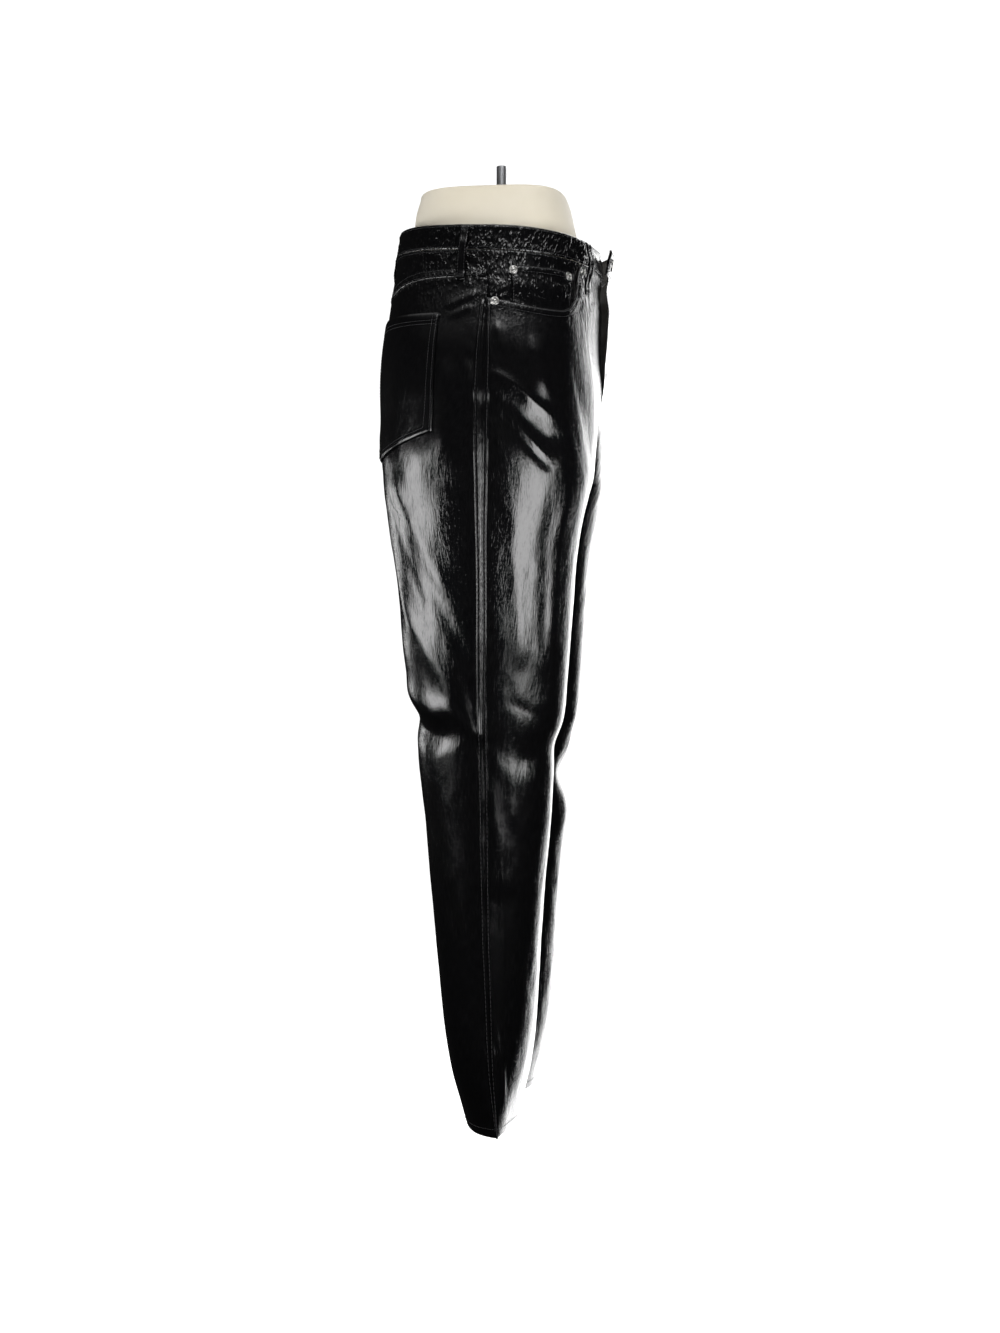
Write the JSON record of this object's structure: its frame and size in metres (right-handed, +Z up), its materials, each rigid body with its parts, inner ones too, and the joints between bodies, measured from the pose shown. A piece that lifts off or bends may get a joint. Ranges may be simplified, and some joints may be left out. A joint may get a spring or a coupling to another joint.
{
  "type": "faux leather bootcut trousers on a hip form",
  "caption": "High-waisted glossy faux leather trousers with a fly, five-pocket seams and flared hems, worn by a limbless hip form that hangs from a metal rod.",
  "frame": {"origin": "the middle of the rod's top end, from which the form and the trousers hang", "axes": "+Z up along the rod, -Y out of the garment's front, +X towards the wearer's left"},
  "size_m": [0.401, 0.2774, 1.1387],
  "materials": {
    "patent_cloth": "black patent, high gloss with fine crinkles",
    "silver_metal": "polished silver colour",
    "form_cover": "matt cream jersey over a hard core",
    "rod_steel": "satin"
  },
  "bodies": {
    "root": {"waistband": "patent_cloth", "front_right": "patent_cloth", "front_left": "patent_cloth", "back_right": "patent_cloth", "back_left": "patent_cloth", "yoke_right": "patent_cloth", "yoke_left": "patent_cloth", "facing_right": "patent_cloth", "facing_left": "patent_cloth", "coin_pocket": "patent_cloth", "back_pocket_right": "patent_cloth", "back_pocket_left": "patent_cloth", "loop_front_right": "patent_cloth", "loop_front_left": "patent_cloth", "loop_side_right": "patent_cloth", "loop_side_left": "patent_cloth", "loop_back": "patent_cloth", "rivet_coin_front": "silver_metal", "rivet_coin_back": "silver_metal", "rivet_front_right": "silver_metal", "rivet_front_left": "silver_metal", "rivet_side_right": "silver_metal", "rivet_side_left": "silver_metal", "button": "silver_metal", "hip_form": "form_cover", "rod": "rod_steel"}
  },
  "joints": []
}
